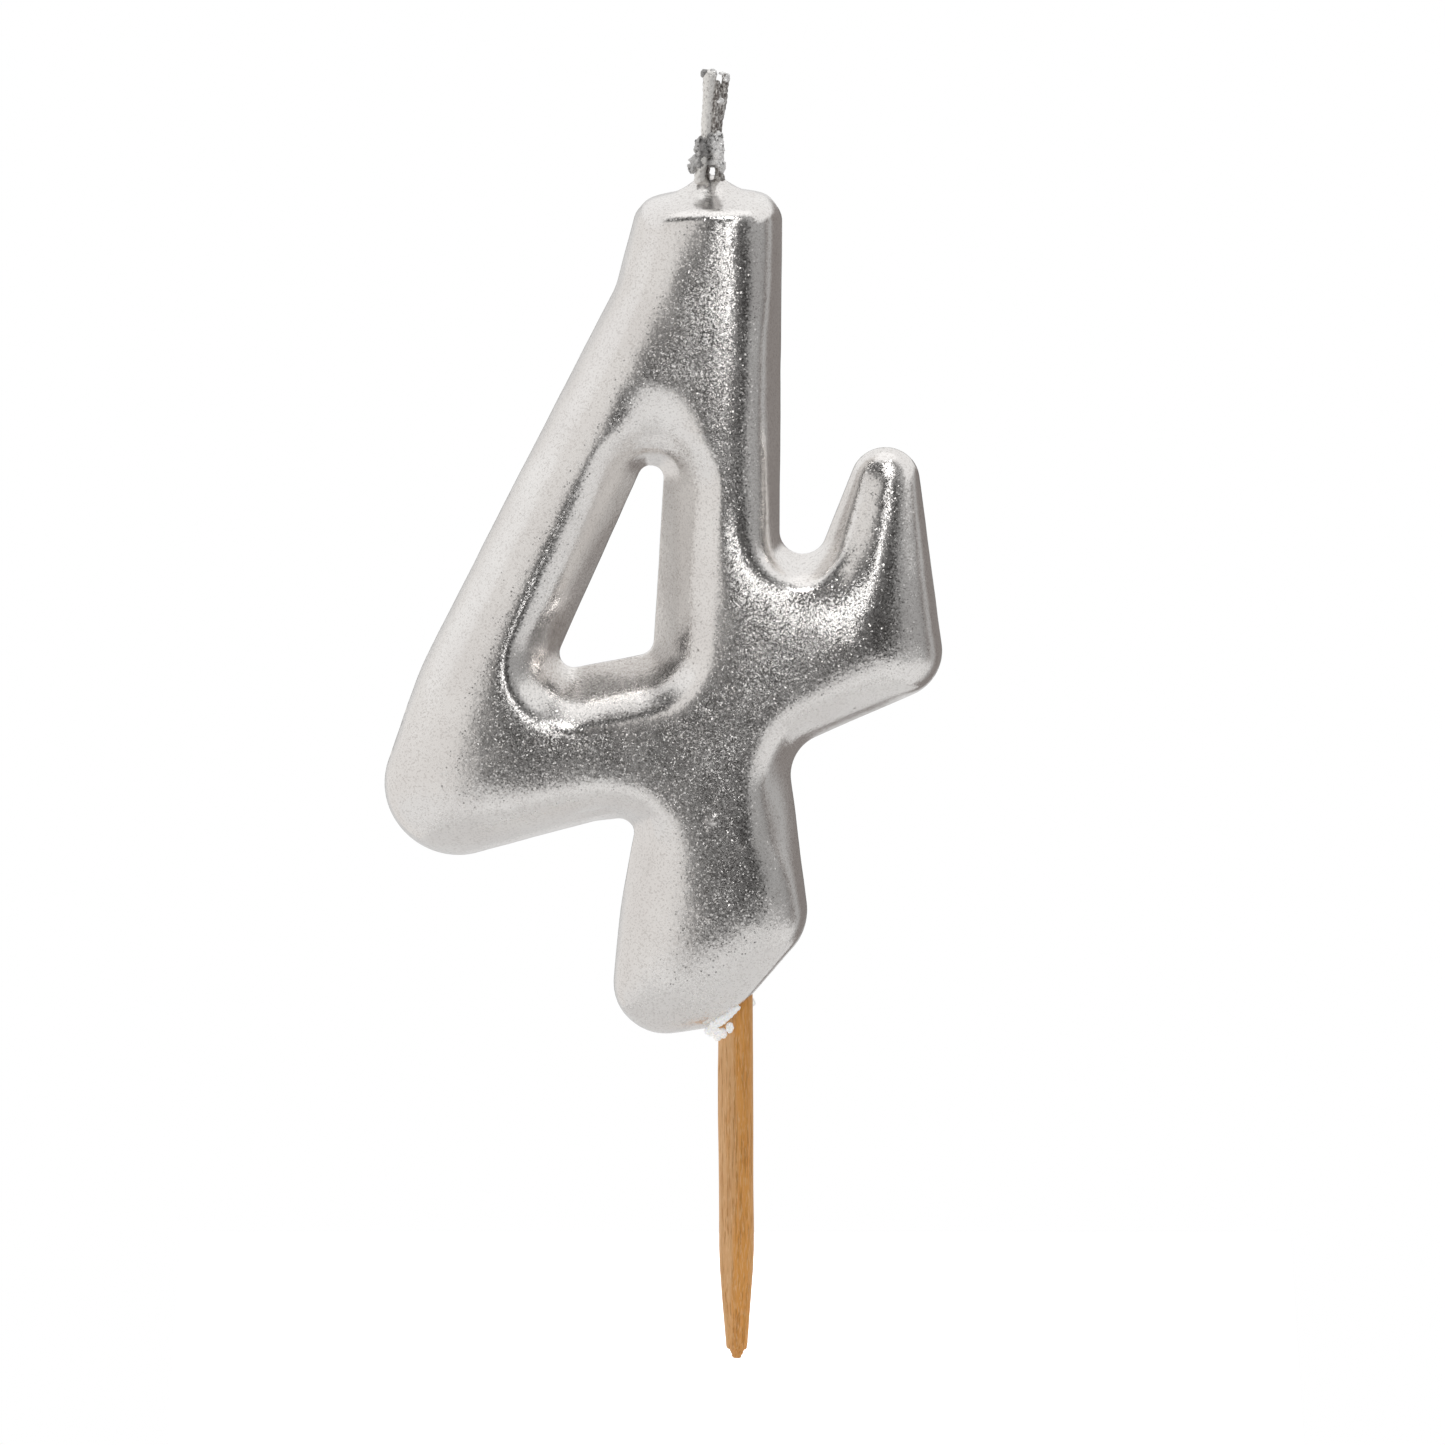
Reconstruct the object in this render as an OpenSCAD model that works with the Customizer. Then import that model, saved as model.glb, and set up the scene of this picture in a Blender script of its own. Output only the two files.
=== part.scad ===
// Numeral four cake candle: a puffed wax numeral in a silver film, with a three-yarn wick
// and a wooden pick.  Millimetres, +Z up, the front faces -Y.
// The origin is on the pick's axis, where its free straight stretch starts, just below the wax.
// Heights in this file are measured from where the pick leaves the wax; lifted() adds the collar.

/* [Numeral] */
// Half the thickness of the numeral at its fullest, film included
half_depth = 5.5; // [4.5:0.1:6.5]
// How far in from the outline the face keeps rising
edge_band = 4.4; // [3:0.1:5]
// Fullness of the rounded edge: 2 is an ellipse, more is squarer
edge_fullness = 2.4; // [2:0.1:3]
// Thickness of the silver film
film = 0.2; // [0.15:0.05:0.3]

/* [Wick] */
// Sideways place of the wick
wick_x = -2.1; // [-3:0.1:-1]
// Radius of one yarn
yarn_r = 0.44; // [0.35:0.01:0.46]
// Height of the top of the wick
wick_top = 79.2; // [76:0.1:82]
// Height of the wick's lower end, inside the wax
wick_foot = 24; // [23:1:40]

/* [Pick] */
// Radius of the pick
pick_r = 1.45; // [1.3:0.05:1.6]
// How far the pick reaches below the wax
pick_out = 28.8; // [24:0.2:34]
// How far the pick reaches up into the wax
pick_in = 21; // [15:0.5:22]
// Length of the sharpened end
point_len = 8.8; // [6:0.2:10]

/* [Hidden] */

// The numeral is a union of convex pads.  Each corner is [x, z, corner radius].
diagonal_pad = [[-9.75, 60.8, 6], [-25.7, 29, 25], [-31.9, 10.6, 6], [-22.4, 14.3, 3],
                [-15.2, 28.7, 10], [-5.5, 50.6, 3], [-2, 60, 3]];
head_pad = [[3.8, 67.9, 1.7], [-7.9, 67.6, 1.7], [-9.75, 60.8, 6], [-13.8, 52.7, 3],
            [-6, 46, 1], [3.6, 47, 3]];
stem_pad = [[3.8, 67.9, 1.7], [-4.3, 67.7, 1.7], [-6.7, 30.4, 3], [-7.2, 20, 3], [3.2, 20, 3]];
lobe_pad = [[-31.9, 10.6, 6], [-14, 15.9, 3], [-15.9, 28.2, 2], [-19, 35.5, 2], [-25.7, 29, 20]];
crossbar_pad = [[-31.9, 10.6, 6], [0, 19.4, 3], [0, 31.8, 3], [-26.7, 26.4, 3]];
arm_pad = [[-3, 19, 3], [17.2, 28, 4], [15.75, 39, 3], [5.4, 38.4, 2], [-5, 36, 2]];
prong_pad = [[13.56, 55.7, 2.8], [3.5, 30.2, 2], [6.5, 23.2, 2], [17.2, 28, 4]];
joint_pad = [[-7.7, 17.2, 1], [4.2, 21, 2], [9.6, 25, 2], [9, 36, 3], [4.5, 38, 2], [-6.6, 30.9, 1]];
foot_pad = [[3.2, 32, 3], [-5.4, 29.5, 3], [-9.3, 9.6, 25], [-10.5, -2.5, 4.3],
            [-0.6, -1.05, 3], [6.1, 7.4, 5]];
PADS = [stem_pad, diagonal_pad, foot_pad, prong_pad, head_pad, crossbar_pad, arm_pad, lobe_pad, joint_pad];
pad_ease = 0.043;   // each pad is this much smaller than the one before, so no two faces are in one plane

corner_steps = 4;   // flats on each rounded corner
edge_steps = 6;     // steps in the rounded edge, from the outline to the face
slice = 0.02;       // thickness of each slice that a pad is stretched over
top_z = 67.6;       // top of the numeral beside the wick
cone_r = 3.3;       // foot of the little wax cone round the wick
cone_tip_r = 1.7;   // its top
cone_h = 1.35;      // its height above the numeral
channel_r = 1.34;   // the way through the wax that the wick fills
socket_gap = 0.02;  // between the pick and the wax that grips it
pick_in_r = 1.2;    // radius of the pick's upper end, inside the wax
collar = 3;         // from the frame's origin up to where the pick leaves the wax
shoulder_drop = 4.4; // first, gentler stretch of the pick's point
shoulder_r = 1.23;  // radius at its end
nib_r = 0.9;        // radius where the nib starts
nib_tip_r = 0.25;   // radius of the nib's end
nib_len = 1.5;      // the blunt, torn last stretch of the pick
parting = 0.25;     // half the flat band round the outline, where the mould parts
round_fn = 48;
yarn_fn = 14;
crust_fn = 16;
overlap = 0.4;      // how far the wick cone is sunk into the numeral

// Beads of the crust and of the curled ends, as [x from the wick's middle, y, z, radius]
crust_beads = [[-0.9, 0.2, 71.2, 1], [0.55, 0.2, 71.4, 0.9], [-0.3, 0.2, 73.2, 1], [0.45, 0.2, 72.8, 0.8]];
left_curl = [[-0.1, -0.1, wick_top - 0.9, 0.5], [0.35, -0.1, wick_top - 0.45, 0.45]];
right_curl = [[1.12, -0.1, 78.1, 0.52]];
back_curl = [[0.3, 0.85, 77.9, 0.5]];

// Torn flakes round the pick, as [turn about the pick, reach, lower height, height of the outer edge above it]
flakes = [[-95, 2.3, -1.15, 0.75], [-50, 2.05, -0.6, 0.6], [150, 2.2, -1.2, 0.6], [95, 2.2, -0.9, 0.6]];
flake_foot = [0.5, 1.6, 0.5];
flake_lip = [0.9, 1.1, 0.5];
flake_back = [0.5, 1.3, 0.7];

// Each yarn as [x from the wick's middle, y, z], from its foot to its tip
yarn_left = [[-0.55, -0.25, wick_foot], [-0.55, -0.25, 68], [-0.72, -0.15, 69.7], [-0.85, -0.1, 71],
             [-0.75, -0.1, 72.5], [-0.42, -0.2, 74], [-0.35, -0.25, 75.6], [-0.3, -0.2, 77.2],
             [-0.1, -0.1, 78.2]];
yarn_right = [[0.55, -0.25, wick_foot], [0.55, -0.25, 68], [0.65, -0.15, 69.7], [0.62, -0.1, 71],
              [0.66, -0.1, 72.5], [0.52, -0.25, 74], [0.7, -0.25, 75.6], [0.92, -0.2, 76.8],
              [1.12, -0.1, 77.9]];
yarn_back = [[0, 0.68, wick_foot], [0, 0.68, 68], [-0.1, 0.7, 69.7], [-0.1, 0.8, 71],
             [-0.05, 0.8, 72.5], [0.05, 0.62, 74], [0.1, 0.62, 75.6], [0.15, 0.7, 76.8],
             [0.3, 0.8, 77.6]];

function flat(corner) = [corner.x, corner.y];
function unit(v) = v / norm(v);

// Points of the round corner at b, between its neighbours a and c
function corner_arc(a, b, c, r) =
    let (to_a = unit(a - b), to_c = unit(c - b), half = acos(to_a * to_c) / 2,
         centre = b + unit(to_a + to_c) * r / sin(half),
         start = b + to_a * r / tan(half) - centre, stop = b + to_c * r / tan(half) - centre,
         from = atan2(start.y, start.x), turn = atan2(stop.y, stop.x) - from,
         sweep = turn > 180 ? turn - 360 : turn < -180 ? turn + 360 : turn)
    [for (k = [0 : corner_steps]) let (at = from + sweep * k / corner_steps)
        centre + r * [cos(at), sin(at)]];

function rounded(corners) = let (n = len(corners))
    [for (i = [0 : n - 1]) each corner_arc(flat(corners[(i + n - 1) % n]), flat(corners[i]),
                                           flat(corners[(i + 1) % n]), corners[i].z)];

module lifted() { translate([0, 0, collar]) children(); }

// Half thickness of the numeral at a distance in from its outline
function rise(inset) =
    half_depth * pow(1 - pow(1 - min(inset, edge_band) / edge_band, edge_fullness), 1 / edge_fullness);

// One convex pad, full in the middle and rounded to its outline; skin is taken off all over
module pad(corners, skin) {
    rotate([90, 0, 0]) hull()
        for (k = [0 : edge_steps], side = [-1, 1]) {
            inset = edge_band * (1 - cos(90 * k / edge_steps));
            translate([0, 0, side * max(rise(inset) - skin * sin(90 * k / edge_steps), parting)])
                linear_extrude(slice, center = true)
                    offset(delta = -inset - skin) polygon(rounded(corners));
        }
}

module numeral(skin) {
    for (i = [0 : len(PADS) - 1]) pad(PADS[i], skin + i * pad_ease);
    translate([wick_x, 0, top_z - overlap])
        cylinder(h = cone_h + overlap - skin, r1 = cone_r - skin, r2 = cone_tip_r - skin, $fn = 32);
}

module wick_channel() {
    translate([wick_x, 0, wick_foot - 0.5])
        cylinder(h = top_z + 5 - wick_foot, r = channel_r, $fn = round_fn);
}

module pick_socket() {
    mouth = 0.6;
    r = pick_r + socket_gap;
    translate([0, 0, -collar - 1]) cylinder(h = collar + 1 + mouth, r = r, $fn = round_fn);
    cylinder(h = pick_in + 0.3, r1 = r, r2 = pick_in_r + socket_gap, $fn = round_fn);
}

module wax_body() {
    color("ivory") lifted() difference() {
        numeral(film);
        wick_channel();
        pick_socket();
    }
}

module silver_coat() {
    color("silver") lifted() difference() {
        numeral(0);
        numeral(film);
        wick_channel();
        pick_socket();
    }
}

// A yarn: round beads joined along its path
module yarn(path, r) {
    translate([wick_x, 0, 0])
        for (i = [1 : len(path) - 1]) hull() {
            translate(path[i - 1]) sphere(r, $fn = yarn_fn);
            translate(path[i]) sphere(r, $fn = yarn_fn);
        }
}

module wick_yarn_left() { color("gainsboro") lifted() yarn(yarn_left, yarn_r); }
module wick_yarn_right() { color("gainsboro") lifted() yarn(yarn_right, yarn_r); }
module wick_yarn_back() { color("gainsboro") lifted() yarn(yarn_back, yarn_r); }

module all_yarns() {
    for (path = [yarn_left, yarn_right, yarn_back]) yarn(path, yarn_r);
}

// Beads melted into one convex lump
module beads(list, fn) {
    translate([wick_x, 0, 0]) hull()
        for (bead = list) translate([bead[0], bead[1], bead[2]]) sphere(bead[3], $fn = fn);
}

// The lump of dried silver that holds the yarns together
module wick_crust() {
    color("silver") lifted() difference() {
        beads(crust_beads, crust_fn);
        all_yarns();
    }
}

// The hard, curled ends above the yarns
module wick_tips() {
    color("silver") lifted() difference() {
        for (curl = [left_curl, right_curl, back_curl]) beads(curl, yarn_fn);
        all_yarns();
    }
}

module pick() {
    straight = pick_out - point_len;
    color("burlywood") lifted() {
        translate([0, 0, -collar])
            cylinder(h = pick_in + collar, r1 = pick_r, r2 = pick_in_r, $fn = round_fn);
        translate([0, 0, -straight]) cylinder(h = straight - collar, r = pick_r, $fn = round_fn);
        translate([0, 0, -straight - shoulder_drop])
            cylinder(h = shoulder_drop, r1 = shoulder_r, r2 = pick_r, $fn = round_fn);
        translate([0, 0, nib_len - pick_out])
            cylinder(h = point_len - shoulder_drop - nib_len, r1 = nib_r, r2 = shoulder_r, $fn = round_fn);
        translate([0, 0, -pick_out]) cylinder(h = nib_len, r1 = nib_tip_r, r2 = nib_r, $fn = round_fn);
    }
}

// Torn flakes of wax pressed up round the pick
module pick_seal() {
    color("whitesmoke") lifted() difference() {
        for (flake = flakes) rotate([0, 0, flake[0]]) hull() {
            translate([pick_r + 0.25, -0.8, flake[2]]) cube(flake_foot, center = true);
            translate([flake[1], 0, flake[2] + flake[3]]) cube(flake_lip, center = true);
            translate([pick_r + 0.2, 0.4, flake[2] + 1]) cube(flake_back, center = true);
        }
        pick_socket();
        numeral(0);
    }
}

wax_body();
silver_coat();
wick_yarn_left();
wick_yarn_right();
wick_yarn_back();
wick_crust();
wick_tips();
pick();
pick_seal();
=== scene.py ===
"""Looks of the numeral candle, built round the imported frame: silver film, wick, pick and torn wax."""

import logging
import math
from dataclasses import dataclass, field
from enum import Enum

import bpy
import numpy as np
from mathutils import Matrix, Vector, noise
from mathutils.geometry import delaunay_2d_cdt


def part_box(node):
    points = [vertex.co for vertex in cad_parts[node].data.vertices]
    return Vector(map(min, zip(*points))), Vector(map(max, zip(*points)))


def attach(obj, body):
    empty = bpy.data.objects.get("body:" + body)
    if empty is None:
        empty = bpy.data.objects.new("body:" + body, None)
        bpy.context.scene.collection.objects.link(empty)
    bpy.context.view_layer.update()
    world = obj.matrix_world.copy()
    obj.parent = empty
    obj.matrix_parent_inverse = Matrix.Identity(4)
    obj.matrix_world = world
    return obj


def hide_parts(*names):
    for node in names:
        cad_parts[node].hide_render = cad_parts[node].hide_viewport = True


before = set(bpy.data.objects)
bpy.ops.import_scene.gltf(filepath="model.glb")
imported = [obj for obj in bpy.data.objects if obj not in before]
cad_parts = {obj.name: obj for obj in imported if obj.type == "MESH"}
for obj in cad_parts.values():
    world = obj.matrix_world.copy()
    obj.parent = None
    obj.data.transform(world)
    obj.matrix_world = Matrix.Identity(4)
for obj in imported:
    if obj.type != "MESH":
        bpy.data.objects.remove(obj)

LOG = logging.getLogger("candle")
MM = 0.001
BODY = "root"
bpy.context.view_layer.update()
PICK_OUT = 28.8  # from the wax down to the pick's torn tip, in millimetres
WAX_FOOT = np.array((0.0, 0.0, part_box("pick")[0].z / MM + PICK_OUT))
Spot = tuple[float, float]
Point = tuple[float, float, float]
Corner = tuple[float, float, float]
Blob = tuple[Point, Point]
Colour = tuple[float, float, float, float]
BLACK: Colour = (0.0, 0.0, 0.0, 1.0)
WHITE: Colour = (1.0, 1.0, 1.0, 1.0)
ARC_STEP = 0.1
TINY = 1e-6
SPECK = 1e-12  # keeps a division from failing


# ---------------------------------------------------------------- mesh helpers


def add_mesh(
    name: str, points: np.ndarray, faces: list, material: bpy.types.Material
) -> bpy.types.Object:
    """Make a smooth-shaded mesh object.

    Args:
        name: The piece's name.
        points: Corner positions in millimetres from where the pick leaves the wax, one row each.
        faces: Corner numbers of each face.
        material: The material of every face.

    Returns:
        The new object, linked to the scene.
    """
    mesh = bpy.data.meshes.new(name)
    mesh.from_pydata(((points + WAX_FOOT) * MM).tolist(), [], faces)
    mesh.validate()
    mesh.polygons.foreach_set("use_smooth", [True] * len(mesh.polygons))
    mesh.materials.append(material)
    mesh.update()
    piece = bpy.data.objects.new(name, mesh)
    bpy.context.scene.collection.objects.link(piece)
    return piece


def smooth_step(value: np.ndarray, low: float, high: float) -> np.ndarray:
    """Ease from 0 at low to 1 at high; low may be the larger."""
    t = np.clip((value - low) / (high - low), 0.0, 1.0)
    return t * t * (3.0 - 2.0 * t)


def noise_at(points: np.ndarray, size: float, seed: float) -> np.ndarray:
    """Smooth noise from about -1 to 1 at each point.

    Args:
        points: Positions in millimetres.
        size: Size of one bump in millimetres.
        seed: Any number; a different one gives a different pattern.

    Returns:
        One value for each point.
    """
    shift = Vector((seed * 7.3, seed * 3.1, seed * 5.7))
    return np.array([noise.noise(Vector(p) / size + shift) for p in points.tolist()])


def unit_rows(rows: np.ndarray) -> np.ndarray:
    """Each row scaled to length 1."""
    return rows / np.maximum(np.linalg.norm(rows, axis=1, keepdims=True), SPECK)


def walked(path: np.ndarray) -> np.ndarray:
    """Distance along a path from its start to each of its points."""
    return np.concatenate([[0], np.cumsum(np.linalg.norm(np.diff(path, axis=0), axis=1))])


def vertex_normals(points: np.ndarray, faces: np.ndarray) -> np.ndarray:
    """Unit normals of a triangle mesh, weighted by face area."""
    a, b, c = (points[faces[:, k]] for k in range(3))
    face_normal = np.cross(b - a, c - a)
    total = np.zeros_like(points)
    for k in range(3):
        np.add.at(total, faces[:, k], face_normal)
    return unit_rows(total)


def relax(points: np.ndarray, faces: np.ndarray, rounds: int, pull: np.ndarray) -> np.ndarray:
    """Move each corner towards the mean of its neighbours.

    Args:
        points: Corner positions.
        faces: Triangles.
        rounds: How many times to repeat it.
        pull: For each corner, how far it moves towards the mean, 0 to 1.

    Returns:
        The relaxed positions.
    """
    edges = np.vstack([faces[:, [0, 1]], faces[:, [1, 2]], faces[:, [2, 0]]])
    edges = np.vstack([edges, edges[:, ::-1]])
    count = np.bincount(edges[:, 0], minlength=len(points))[:, None]
    for _ in range(rounds):
        total = np.zeros_like(points)
        np.add.at(total, edges[:, 0], points[edges[:, 1]])
        points = points + pull[:, None] * (total / np.maximum(count, 1) - points)
    return points


# ---------------------------------------------------------------- the numeral's outline


def rounded_loop(corners: tuple[Corner, ...], step: float) -> np.ndarray:
    """Walk round a closed outline whose corners are arcs.

    Args:
        corners: Each corner's x, z and radius in millimetres.
        step: Distance between points along the outline.

    Returns:
        Evenly spaced points, one row each.
    """
    path: list[np.ndarray] = []
    for i, (x, z, radius) in enumerate(corners):
        here = np.array((x, z))
        before = np.array(corners[i - 1][:2]) - here
        after = np.array(corners[(i + 1) % len(corners)][:2]) - here
        before /= np.linalg.norm(before)
        after /= np.linalg.norm(after)
        half = math.acos(float(np.clip(before @ after, -1, 1))) / 2
        middle = before + after
        centre = here + middle / np.linalg.norm(middle) * radius / math.sin(half)
        start = here + before * radius / math.tan(half) - centre
        stop = here + after * radius / math.tan(half) - centre
        first = math.atan2(start[1], start[0])
        turn = (math.atan2(stop[1], stop[0]) - first + math.pi) % (2 * math.pi) - math.pi
        steps = max(4, int(abs(turn) * radius / ARC_STEP))
        for k in range(steps + 1):
            angle = first + turn * k / steps
            path.append(centre + radius * np.array((math.cos(angle), math.sin(angle))))
    loop = np.array(path + [path[0]])
    along = walked(loop)
    places = np.linspace(0, along[-1], max(8, round(along[-1] / step)), endpoint=False)
    return np.column_stack([np.interp(places, along, loop[:, k]) for k in range(2)])


def distance_to(points: np.ndarray, path: np.ndarray, closed: bool = True) -> np.ndarray:
    """Shortest distance from each point to a path.

    Args:
        points: Positions in the plane.
        path: The path's points in order.
        closed: Whether the path returns to its start.

    Returns:
        One distance for each point.
    """
    ends = np.roll(path, -1, axis=0) if closed else path[1:]
    starts = path if closed else path[:-1]
    span = ends - starts
    length2 = np.maximum((span**2).sum(axis=1), SPECK)
    result = np.empty(len(points))
    for low in range(0, len(points), 2000):
        rel = points[low : low + 2000, None, :] - starts[None]
        t = np.clip((rel * span[None]).sum(axis=2) / length2[None], 0, 1)
        gap = rel - t[..., None] * span[None]
        result[low : low + 2000] = np.sqrt((gap**2).sum(axis=2).min(axis=1))
    return result


def is_within(points: np.ndarray, loop: np.ndarray) -> np.ndarray:
    """Whether each point lies inside a closed loop."""
    nxt = np.roll(loop, -1, axis=0)
    result = np.zeros(len(points), bool)
    for (x0, z0), (x1, z1) in zip(loop, nxt):
        if z0 == z1:
            continue
        crosses = (points[:, 1] < z0) != (points[:, 1] < z1)
        result ^= crosses & (points[:, 0] < x0 + (points[:, 1] - z0) * (x1 - x0) / (z1 - z0))
    return result


@dataclass(frozen=True)
class NumeralShape:
    """Sizes of the puffed numeral, in millimetres; x runs to the right and z up."""

    outer: tuple[Corner, ...] = (
        (-7.9, 67.85, 1.9), (-9.75, 60.8, 6.0), (-25.7, 29.0, 25.0), (-31.9, 10.6, 6.0),
        (-11.4, 16.24, 6.0), (-8.0, 16.6, 1.2), (-9.3, 9.6, 25.0), (-10.5, -2.5, 4.3),
        (-0.85, -0.85, 2.0), (6.1, 7.2, 5.0), (4.2, 22.2, 3.5), (17.2, 28.0, 4.0),
        (13.56, 55.7, 2.8), (3.5, 30.2, 1.9), (3.8, 68.2, 1.9),
    )
    eye: tuple[Corner, ...] = ((-5.5, 50.6, 1.05), (-6.7, 30.3, 1.3), (-15.2, 28.6, 1.2))
    notch_wall: tuple[Spot, ...] = (
        (3.7, 54.0), (3.6, 42.0), (4.2, 39.4), (5.4, 38.4), (6.9, 39.1), (10.0, 46.4), (12.2, 47.3),
        (14.2, 46.6),
    )
    round_walls: tuple[tuple[Spot, ...], ...] = (
        ((-22.0, 13.2), (-12.4, 15.95), (-9.6, 15.6)),
        ((5.0, 17.0), (4.9, 20.0), (6.2, 22.9), (11.0, 25.1)),
    )
    top_rise: float = 9.0
    top_round: float = 1.5
    top_power: float = 2.4
    top_draft: float = 16.0
    top_reach: Spot = (1.0, 0.3)
    ridges: tuple[tuple[Spot, ...], ...] = (
        ((-0.7, 80.0), (-0.7, 56.0), (0.5, 46.0), (2.0, 38.0)),
        ((-4.5, 60.0), (-9.8, 52.0), (-13.2, 46.5), (-16.3, 37.5), (-19.4, 27.5)),
    )
    valley: tuple[Spot, ...] = ((-6.6, 44.5), (-6.4, 53.0))
    valley_fade: Spot = (55.0, 46.5)
    valley_width: float = 2.2
    valley_share: float = 0.42
    ridge_boost: float = 1.2
    ridge_width: float = 2.2
    half_depth: float = 5.5
    swell_depth: float = 6.3
    fill_radius: float = 7.7
    draft: float = 6.0
    notch_draft: float = 3.6
    notch_reach: Spot = (9.0, 2.0)
    eye_draft: float = 1.55
    eye_reach: Spot = (5.2, 3.6)
    round_draft: float = 2.5
    round_reach: Spot = (8.0, 1.5)
    wall_power: float = 5.0
    round_power: float = 2.6
    flat_power: float = 16.0
    rings: tuple[float, ...] = (
        0.07, 0.15, 0.24, 0.34, 0.46, 0.6, 0.76, 0.94, 1.14, 1.36, 1.6, 1.86, 2.14, 2.44, 2.76,
    )
    step: float = 0.34
    inner_step: float = 0.4
    row_share: float = 0.866
    ring_slack: float = 0.015
    inner_margin: float = 0.25
    least_share: float = 0.55
    grid: float = 0.25
    inflate_rounds: int = 700
    over_relax: float = 1.9
    fill_rounds: int = 16
    blur_rounds: int = 6


class NumeralSurface:
    """Works out the height of the puffed face above the numeral's middle plane."""

    def __init__(self, shape: NumeralShape) -> None:
        """Sample the outline and solve for its fullness."""
        self.shape = shape
        self.outer = rounded_loop(shape.outer, shape.step)
        self.eye = rounded_loop(shape.eye, shape.step)
        self.tall = rounded_loop(self._risen(shape), shape.step)
        self._solve_fullness()

    @staticmethod
    def _risen(shape: NumeralShape) -> tuple[Corner, ...]:
        """The outline with its flat top carried on upward, so that the stem is full to its end."""
        left, right = shape.outer[0], shape.outer[-1]
        lean = (left[0] - shape.outer[1][0]) / (left[1] - shape.outer[1][1])
        risen = (left[0] + lean * shape.top_rise, left[1] + shape.top_rise, left[2])
        return (risen, *shape.outer[1:-1], (right[0], right[1] + shape.top_rise, right[2]))

    def _below_top(self, points: np.ndarray) -> np.ndarray:
        """Depth of each point below the line along the stem's flat end."""
        left, right = self.shape.outer[0], self.shape.outer[-1]
        slope = (right[1] - left[1]) / (right[0] - left[0])
        return left[1] + slope * (points[:, 0] - left[0]) - points[:, 1]

    def within(self, points: np.ndarray, outer: np.ndarray | None = None) -> np.ndarray:
        """Whether each point is inside an outline, by default the numeral's, and outside the eye."""
        return is_within(points, self.outer if outer is None else outer) & ~is_within(points, self.eye)

    def edge_distance(self, points: np.ndarray, outer: np.ndarray | None = None) -> np.ndarray:
        """Distance from each point to an outline, by default the numeral's, or the eye."""
        to_outer = distance_to(points, self.outer if outer is None else outer)
        return np.minimum(to_outer, distance_to(points, self.eye))

    def _solve_fullness(self) -> None:
        """Inflate the outline like a membrane and keep the result as a smooth ratio to the edge distance."""
        grid = self.shape.grid
        low, high = self.tall.min(axis=0) - 4 * grid, self.tall.max(axis=0) + 4 * grid
        self.x_axis = np.arange(low[0], high[0], grid)
        self.z_axis = np.arange(low[1], high[1], grid)
        gx, gz = np.meshgrid(self.x_axis, self.z_axis, indexing="ij")
        cells = np.column_stack([gx.ravel(), gz.ravel()])
        inside = self.within(cells, self.tall).reshape(gx.shape)
        gap = self.edge_distance(cells, self.tall).reshape(gx.shape)
        crest = np.zeros(len(cells))
        for ridge in self.shape.ridges:
            off = self._open_distance(cells, ridge)
            crest = np.maximum(crest, np.exp(-((off / self.shape.ridge_width) ** 2)))
        source = (1.0 + self.shape.ridge_boost * crest.reshape(gx.shape)) * grid * grid
        swell = np.where(inside, gap * 3.0, 0.0)
        checker = (np.add.outer(np.arange(gx.shape[0]), np.arange(gx.shape[1])) % 2).astype(bool)
        for k in range(self.shape.inflate_rounds):
            around = np.zeros_like(swell)
            around[1:-1, 1:-1] = swell[2:, 1:-1] + swell[:-2, 1:-1] + swell[1:-1, 2:] + swell[1:-1, :-2]
            target = (around + source) / 4
            cell = inside & (checker if k % 2 else ~checker)
            swell[cell] += self.shape.over_relax * (target[cell] - swell[cell])
        known = inside & (gap > 2 * grid)
        ratio = np.where(known, swell / np.maximum(gap, grid), 0.0)
        weight = known.astype(float)
        for _ in range(self.shape.fill_rounds):
            ratio, weight = self._blur(ratio), self._blur(weight)
            level = np.where(weight > 1e-9, ratio / np.maximum(weight, 1e-9), 0.0)
            ratio = np.where(known, swell / np.maximum(gap, grid), level)
            weight = np.where(weight > 1e-9, 1.0, 0.0)
        for _ in range(self.shape.blur_rounds):
            ratio = self._blur(ratio)
        self.ratio = ratio

    @staticmethod
    def _blur(cells: np.ndarray) -> np.ndarray:
        """One pass of a small box blur."""
        result = cells.copy()
        result[1:-1, 1:-1] = (
            4 * cells[1:-1, 1:-1] + cells[2:, 1:-1] + cells[:-2, 1:-1] + cells[1:-1, 2:] + cells[1:-1, :-2]
        ) / 8
        return result

    def _ratio_at(self, points: np.ndarray) -> np.ndarray:
        """The solved ratio at each point, between grid cells."""
        fx = (points[:, 0] - self.x_axis[0]) / self.shape.grid
        fz = (points[:, 1] - self.z_axis[0]) / self.shape.grid
        ix = np.clip(fx.astype(int), 0, len(self.x_axis) - 2)
        iz = np.clip(fz.astype(int), 0, len(self.z_axis) - 2)
        tx, tz = fx - ix, fz - iz
        r = self.ratio
        return (
            r[ix, iz] * (1 - tx) * (1 - tz) + r[ix + 1, iz] * tx * (1 - tz)
            + r[ix, iz + 1] * (1 - tx) * tz + r[ix + 1, iz + 1] * tx * tz
        )

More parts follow.
